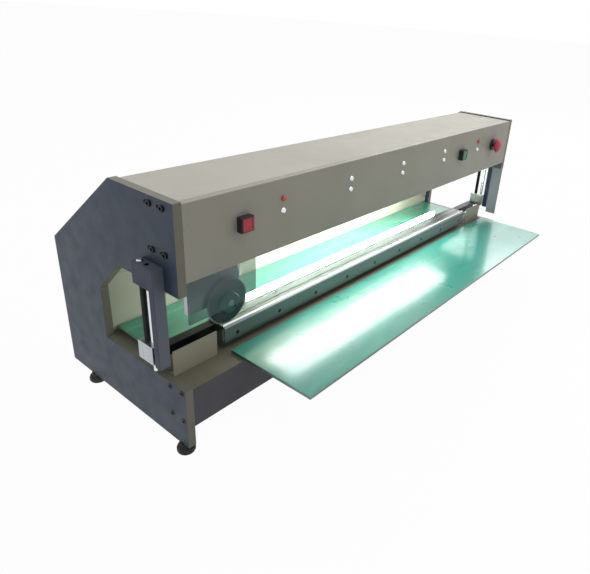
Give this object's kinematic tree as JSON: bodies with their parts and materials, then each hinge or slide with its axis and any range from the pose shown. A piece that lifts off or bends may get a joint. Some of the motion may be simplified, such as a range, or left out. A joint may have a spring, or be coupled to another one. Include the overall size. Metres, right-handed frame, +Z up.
{
  "type": "pcb depaneling machine",
  "caption": "Bench-top separator for scored circuit boards: a round blade on a belt-driven carriage rolls along a straight blade between two receiving trays.",
  "frame": {"origin": "centre of the bounding box's bottom face, on the surface that the feet stand on", "axes": "+X along the machine from its left end to its right end as the operator sees it, +Y from the operator to the rear, +Z up"},
  "size_m": [1.24, 0.55, 0.465],
  "materials": {
    "plate_paint": "satin powder coat, blue-grey",
    "panel_paint": "satin powder coat, warm grey",
    "cover_paint": "satin powder coat, warm white",
    "dark_paint": "satin, dark grey",
    "liner_paint": "satin, beige",
    "frame_steel": "satin grey steel",
    "mat_rubber": "matt green anti-static rubber",
    "black_rubber": "matt black rubber",
    "machined_aluminium": "fine machined",
    "ground_steel": "ground",
    "blade_steel": "ground and honed at the edge",
    "chrome": "polished",
    "black_steel": "black oxide",
    "bracket_paint": "satin blue-grey",
    "clear_plastic": "clear, slightly grey-green",
    "lamp_diffuser": "translucent white",
    "white_plastic": "light grey",
    "black_plastic": "fine texture",
    "red_plastic": "gloss",
    "green_plastic": "gloss",
    "lamp_red": "translucent red",
    "belt_rubber": "matt black",
    "board_green": "solder mask"
  },
  "bodies": {
    "machine": {"left_end_plate": "plate_paint", "right_end_plate": "plate_paint", "base_box": "dark_paint", "bottom_plate": "dark_paint", "front_panel": "panel_paint", "top_cover": "cover_paint", "rear_cover": "cover_paint", "inner_liner": "liner_paint", "rail_beam": "frame_steel", "end_guards": "liner_paint", "front_table": "frame_steel", "front_mat": "mat_rubber", "table_brackets": "dark_paint", "rear_tray": "liner_paint", "rear_mat": "mat_rubber", "light_channel": "machined_aluminium", "light_tube": "lamp_diffuser", "light_caps": "white_plastic", "adjuster_brackets": "bracket_paint", "guide_rods": "chrome", "guide_rail": "ground_steel", "timing_belt": "belt_rubber", "drive_motor": "black_steel", "idler_axle": "black_steel", "red_button_frame": "black_plastic", "green_button_frame": "black_plastic", "stop_button_base": "black_plastic", "pilot_lamps": "lamp_red", "panel_studs": "chrome", "plate_bolts": "black_steel", "finger_guard": "frame_steel", "feet": "black_rubber", "foot_brackets": "frame_steel", "power_inlet": "black_plastic", "power_supply": "frame_steel", "control_board": "board_green"},
    "beam_lift_body": {"lower_beam": "black_steel", "straight_blade": "blade_steel", "blade_clamp": "black_steel", "clamp_screws": "black_steel", "board_stop": "ground_steel", "lift_arms": "black_steel", "nut_blocks": "machined_aluminium"},
    "left_screw_body": {"left_adjusting_screw": "black_steel"},
    "right_screw_body": {"right_adjusting_screw": "black_steel"},
    "carriage": {"carriage_plate": "machined_aluminium", "bearing_blocks": "ground_steel", "spindle_housing": "machined_aluminium", "spindle_bearings": "ground_steel", "clear_shield": "clear_plastic", "shield_posts": "machined_aluminium", "belt_clip": "black_steel"},
    "blade_spindle": {"spindle": "ground_steel", "round_blade": "blade_steel", "blade_hub": "chrome"},
    "drive_pulley_body": {"drive_pulley": "machined_aluminium"},
    "idler_pulley_body": {"idler_pulley": "machined_aluminium"},
    "red_button_body": {"red_button": "red_plastic"},
    "green_button_body": {"green_button": "green_plastic"},
    "stop_button_body": {"stop_button": "red_plastic"}
  },
  "joints": [
    {"name": "beam_lift", "type": "slide", "parent": "machine", "child": "beam_lift_body", "axis": [0, 0, 1], "range_m": [-0.005, 0.0006]},
    {"name": "left_screw_turn", "type": "hinge", "parent": "machine", "child": "left_screw_body", "pos_m": [-0.61, -0.035, 0.255], "axis": [0, 0, 1], "range_deg": [-1220, 190]},
    {"name": "right_screw_turn", "type": "hinge", "parent": "machine", "child": "right_screw_body", "pos_m": [0.61, -0.035, 0.255], "axis": [0, 0, 1], "range_deg": [-1220, 190]},
    {"name": "carriage_slide", "type": "slide", "parent": "machine", "child": "carriage", "axis": [1, 0, 0], "range_m": [0, 0.9]},
    {"name": "blade_spin", "type": "hinge", "parent": "carriage", "child": "blade_spindle", "pos_m": [-0.462, -0.059, 0.235], "axis": [0, 1, 0], "continuous": true},
    {"name": "drive_pulley_turn", "type": "hinge", "parent": "machine", "child": "drive_pulley_body", "pos_m": [0.54, -0.029, 0.431], "axis": [0, 1, 0], "continuous": true},
    {"name": "idler_pulley_turn", "type": "hinge", "parent": "machine", "child": "idler_pulley_body", "pos_m": [-0.558, -0.029, 0.431], "axis": [0, 1, 0], "continuous": true},
    {"name": "red_button_press", "type": "slide", "parent": "machine", "child": "red_button_body", "axis": [0, 1, 0], "range_m": [0, 0.003], "stiffness_N_per_m": 600, "springref_m": -0.001},
    {"name": "green_button_press", "type": "slide", "parent": "machine", "child": "green_button_body", "axis": [0, 1, 0], "range_m": [0, 0.003], "stiffness_N_per_m": 600, "springref_m": -0.001},
    {"name": "stop_button_press", "type": "slide", "parent": "machine", "child": "stop_button_body", "axis": [0, 1, 0], "range_m": [0, 0.005], "stiffness_N_per_m": 900, "springref_m": -0.001}
  ],
  "couplings": [
    {"joint": "left_screw_turn", "follows": "beam_lift", "rad_per_m": 4188.8},
    {"joint": "right_screw_turn", "follows": "beam_lift", "rad_per_m": 4188.8},
    {"joint": "drive_pulley_turn", "follows": "carriage_slide", "rad_per_m": -78.74},
    {"joint": "idler_pulley_turn", "follows": "carriage_slide", "rad_per_m": -78.74}
  ]
}
